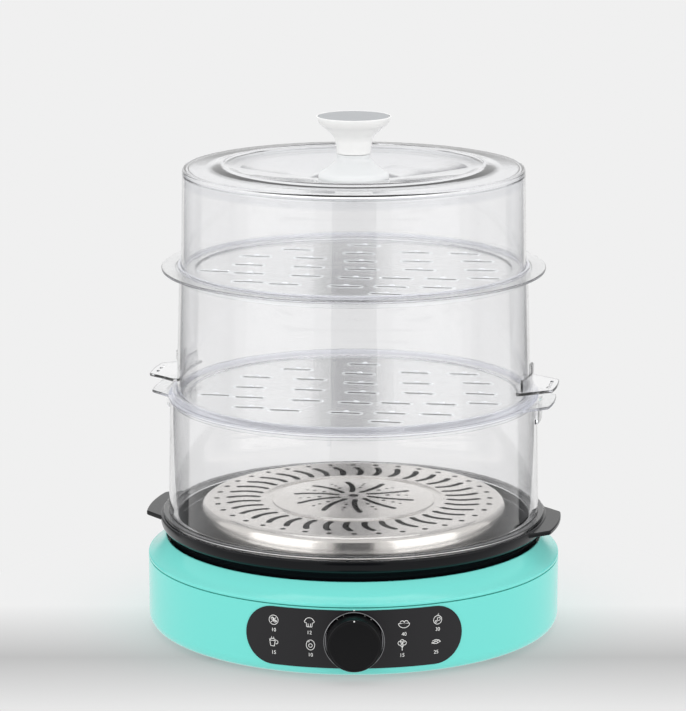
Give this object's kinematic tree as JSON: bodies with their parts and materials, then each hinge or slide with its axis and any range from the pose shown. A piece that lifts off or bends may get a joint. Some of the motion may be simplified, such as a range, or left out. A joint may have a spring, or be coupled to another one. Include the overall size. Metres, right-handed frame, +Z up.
{
  "type": "electric food steamer",
  "caption": "Electric food steamer: round heated base with a front dial, shallow pan with ears, slotted steel plate, clear stacked tiers with drip trays, and a clear hood with a knob.",
  "frame": {"origin": "on the worktop under the middle of the base", "axes": "+Z up the stack, -Y out of the control panel, +Y out of the cord gland"},
  "size_m": [0.303, 0.3245, 0.3738],
  "materials": {
    "mint_abs": "smooth glossy moulding",
    "panel_black": "semi-gloss printed overlay",
    "bezel_chrome": "bright",
    "foot_rubber": "matt",
    "screw_steel": "zinc plated",
    "shield_steel": "pressed",
    "cast_aluminium": "cast, faced",
    "element_steel": "dull",
    "holder_ceramic": "matt",
    "lead_silicone": "matt sleeve",
    "terminal_nylon": "matt",
    "gland_rubber": "matt",
    "circuit_board": "laminate",
    "component_black": "matt",
    "knob_black": "satin",
    "pan_nonstick": "black non-stick coating",
    "plate_steel": "satin stainless",
    "clear_wall": "clear moulding",
    "clear_tray": "clear moulding",
    "knob_frosted": "translucent",
    "knob_white": "glossy",
    "cap_grey": "satin"
  },
  "bodies": {
    "base": {"base_housing": "mint_abs", "floor_plate": "mint_abs", "base_top_cover": "mint_abs", "control_panel": "panel_black", "knob_bezel": "bezel_chrome", "rubber_feet": "foot_rubber", "housing_screws": "screw_steel", "heat_shield": "shield_steel", "well_liner": "shield_steel", "heating_plate": "cast_aluminium", "heating_element": "element_steel", "heater_screws": "screw_steel", "sensor_holder": "holder_ceramic", "thermal_fuse": "holder_ceramic", "heater_leads": "lead_silicone", "terminal_block": "terminal_nylon", "cord_gland": "gland_rubber", "cord_clamp": "terminal_nylon", "power_board": "circuit_board", "relay": "component_black", "power_capacitor": "component_black", "control_board": "circuit_board", "encoder_body": "component_black"},
    "sensor": {"sensor_plunger": "cast_aluminium", "sensor_spring": "screw_steel"},
    "dial_rotor": {"encoder_rotor": "terminal_nylon"},
    "dial": {"encoder_shaft": "screw_steel", "control_knob": "knob_black"},
    "pan": {"cooking_pan": "pan_nonstick"},
    "plate": {"steam_plate": "plate_steel"},
    "lower_tier": {"lower_tier": "clear_wall"},
    "middle_tray": {"middle_tray": "clear_tray"},
    "upper_tier": {"upper_tier": "clear_wall"},
    "upper_tray": {"upper_tray": "clear_tray"},
    "lid": {"lid_hood": "clear_wall", "lid_knob_base": "knob_frosted", "lid_knob_grip": "knob_white", "lid_knob_cap": "cap_grey", "lid_knob_screw": "screw_steel", "lid_washer": "gland_rubber"}
  },
  "joints": [
    {"name": "dial_turn", "type": "hinge", "parent": "base", "child": "dial_rotor", "pos_m": [0, -0.14, 0.02855], "axis": [0, -1, 0], "continuous": true},
    {"name": "dial_push", "type": "slide", "parent": "dial_rotor", "child": "dial", "axis": [0, 1, 0], "range_m": [0, 0.0005], "stiffness_N_per_m": 1500},
    {"name": "sensor_travel", "type": "slide", "parent": "base", "child": "sensor", "axis": [0, 0, 1], "range_m": [-0.0015, 0], "stiffness_N_per_m": 400, "springref_m": 0.0005, "deforming": ["sensor_spring"]},
    {"name": "pan_lift", "type": "slide", "parent": "base", "child": "pan", "axis": [0, 0, 1], "range_m": [0, 0.06]},
    {"name": "plate_lift", "type": "slide", "parent": "pan", "child": "plate", "axis": [0, 0, 1], "range_m": [0, 0.06]},
    {"name": "lower_tier_lift", "type": "slide", "parent": "pan", "child": "lower_tier", "axis": [0, 0, 1], "range_m": [0, 0.04]},
    {"name": "middle_tray_lift", "type": "slide", "parent": "lower_tier", "child": "middle_tray", "axis": [0, 0, 1], "range_m": [0, 0.03]},
    {"name": "upper_tier_lift", "type": "slide", "parent": "middle_tray", "child": "upper_tier", "axis": [0, 0, 1], "range_m": [0, 0.03]},
    {"name": "upper_tray_lift", "type": "slide", "parent": "upper_tier", "child": "upper_tray", "axis": [0, 0, 1], "range_m": [0, 0.03]},
    {"name": "lid_lift", "type": "slide", "parent": "upper_tray", "child": "lid", "axis": [0, 0, 1], "range_m": [0, 0.08]}
  ]
}
